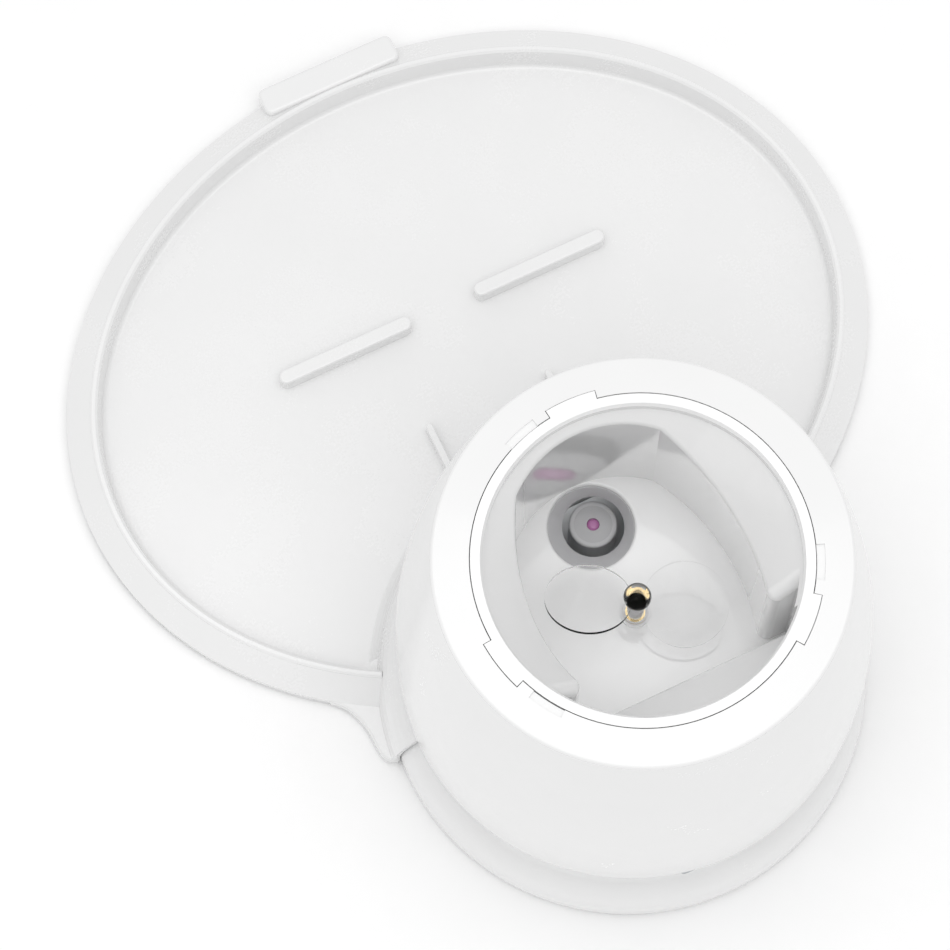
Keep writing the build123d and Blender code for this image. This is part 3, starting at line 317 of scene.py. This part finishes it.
def islands(name):
    """Boxes (low corner, high corner, head at the top) of a node's separate lumps."""
    mesh = bmesh.new()
    mesh.from_mesh(nodes[name].data)
    mesh.transform(nodes[name].matrix_world)
    bmesh.ops.remove_doubles(mesh, verts=mesh.verts, dist=WELD)
    left = set(mesh.verts)
    boxes = []
    while left:
        pending = [min(left, key=lambda vert: vert.index)]
        left.discard(pending[0])
        lump = []
        while pending:
            vert = pending.pop()
            lump.append(vert.co.copy())
            for edge in vert.link_edges:
                other = edge.other_vert(vert)
                if other in left:
                    left.discard(other)
                    pending.append(other)
        low = Vector([min(point[axis] for point in lump) for axis in range(3)])
        high = Vector([max(point[axis] for point in lump) for axis in range(3)])
        middle = (low + high) / 2
        widest = max(lump, key=lambda point: round((point.xy - middle.xy).length, 6))
        head_only = high.z - low.z < HEAD_ONLY
        boxes.append((low, high, head_only or widest.z > middle.z))
    mesh.free()
    return sorted(boxes, key=lambda box: tuple(round(value, 5) for value in box[0]))


def turned(name, body, material, replaced, profile, frame_of, dent=None):
    """One mesh of lathe-turned shapes, one on each lump of the node that it replaces.

    profile gives (radius, height) pairs for a lump, frame_of its matrix, and dent moves
    a point down by a depth that depends on its place across the head."""
    mesh = bmesh.new()
    for box in islands(replaced):
        place = frame_of(box)
        rings = []
        for radius, height in profile(box):
            ring = []
            for step in range(TURNED_STEPS):
                angle = 2 * math.pi * step / TURNED_STEPS
                point = Vector((radius * math.cos(angle), radius * math.sin(angle), height))
                if dent:
                    point.z -= dent(point, box)
                ring.append(mesh.verts.new(place @ point))
            rings.append(ring)
        for lower, upper in zip(rings, rings[1:]):
            for step in range(TURNED_STEPS):
                after = (step + 1) % TURNED_STEPS
                mesh.faces.new((lower[step], lower[after], upper[after], upper[step]))
        mesh.faces.new(list(reversed(rings[0])))
        mesh.faces.new(rings[-1])
    bmesh.ops.recalc_face_normals(mesh, faces=mesh.faces)
    for face in mesh.faces:
        face.smooth = len(face.verts) == 4
    data = bpy.data.meshes.new(name)
    mesh.to_mesh(data)
    mesh.free()
    piece = link(bpy.data.objects.new(name, data))
    piece.data.materials.append(material)
    piece.data.set_sharp_from_angle(angle=CREASE)
    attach(piece, body)
    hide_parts(replaced)


def upright(box):
    """Frame at a lump's foot with +Z up, or at its top looking down when the head is below."""
    low, high, head_up = box
    middle = (low + high) / 2
    if head_up:
        return Matrix.Translation((middle.x, middle.y, low.z))
    return Matrix.Translation((middle.x, middle.y, high.z)) @ Matrix.Rotation(math.pi, 4, "X")


def along_y(box):
    """Frame at a lump's front end with its +Z along Y."""
    low, high, head_up = box
    middle = (low + high) / 2
    return Matrix.Translation((middle.x, low.y, middle.z)) @ Matrix.Rotation(-math.pi / 2, 4, "X")


def half_width(box):
    low, high, head_up = box
    return min(high.x - low.x, high.y - low.y) / 2


def screw_profile(box):
    """Pan-head screw: point, thread ridges, then a domed head."""
    low, high, head_up = box
    length = high.z - low.z
    head_r = half_width(box)
    head_h = min(PAN_HEIGHT, length * 0.9)
    points = []
    if length > HEAD_ONLY:
        points.append((0.2 * MM, 0.0))
        turns = int((length - head_h - THREAD_PITCH) / THREAD_PITCH)
        for turn in range(turns):
            foot = (1.0 + turn) * THREAD_PITCH
            points.append((SHANK_R * THREAD_ROOT, foot))
            points.append((SHANK_R, foot + THREAD_PITCH / 2))
        points.append((SHANK_R * THREAD_ROOT, length - head_h))
    points.append((head_r, length - head_h))
    points.append((head_r, length - 0.55 * head_h))
    for share in (0.94, 0.84, 0.7, 0.6, 0.5, 0.4, 0.3, 0.2, 0.1, CENTRE):
        points.append((head_r * share, length - 0.55 * head_h * share ** 3))
    return points


def cross_recess(point, box):
    """Depth of a cross recess in a screw head."""
    low, high, head_up = box
    length = high.z - low.z
    head_r = half_width(box)
    reach = point.xy.length
    in_head = point.z > length - 0.5 * min(PAN_HEIGHT, length * 0.9)
    in_cross = min(abs(point.x), abs(point.y)) < 0.16 * head_r
    if in_head and in_cross and reach < 0.62 * head_r:
        return RECESS_DEPTH * (1 - reach / head_r) * min(1.0, length / HEAD_ONLY)
    return 0.0


def foot_profile(box):
    """Rubber foot: soft shoulder, rounded edge and a ring groove in the sole."""
    low, high, head_up = box
    radius = half_width(box)
    tall = high.z - low.z
    outline = ((CENTRE, 0.0), (0.5, 0.0), (0.54, 0.12), (0.62, 0.12), (0.66, 0.0), (0.9, 0.0),
               (0.97, 0.08), (1.0, 0.25), (1.0, 0.8), (0.96, 0.95), (0.9, 1.0), (CENTRE, 1.0))
    return [(radius * share, depth * tall) for share, depth in outline]


def foot_place(box):
    low, high, head_up = box
    middle = (low + high) / 2
    return Matrix.Translation((middle.x, middle.y, low.z))


def cell_profile(box):
    """Cylindrical cell: rolled wrap edge at each end and a button at one."""
    low, high, head_up = box
    radius = (high.x - low.x) / 2
    length = high.y - low.y
    return [(radius * CENTRE, 0.2 * MM), (radius * 0.8, 0.2 * MM), (radius * 0.84, 0.0),
            (radius * 0.95, 0.0), (radius, 0.5 * MM), (radius, length - 2.2 * MM),
            (radius * 0.95, length - 1.6 * MM), (radius * 0.84, length - 1.6 * MM),
            (radius * 0.8, length - 1.9 * MM), (radius * 0.4, length - 1.9 * MM),
            (radius * 0.38, length - 0.3 * MM), (radius * 0.33, length), (radius * CENTRE, length)]


def make_details():
    """Turned pieces that stand in for the plain ones of the model."""
    for name in ("plate_screws", "body_screws", "cover_screws"):
        turned("detail_" + name, "base", steel, name,
               screw_profile, upright, cross_recess)
    turned("detail_base_feet", "base", foot_rubber, "base_feet",
           foot_profile, foot_place)
    turned("detail_tray_feet", "dish", foot_rubber, "tray_feet",
           foot_profile, foot_place)
    turned("detail_cells", "base", cell_wrap, "battery_cells",
           cell_profile, along_y)


finish_nodes()
make_details()
make_camera()
make_world(SURROUND_STRENGTH)
soft_box("overhead", OVERHEAD_PLACE, OVERHEAD_SIZE, OVERHEAD_POWER)
make_floor(floor_paper("floor_paper"))
bpy.context.scene.view_settings.view_transform = "Standard"
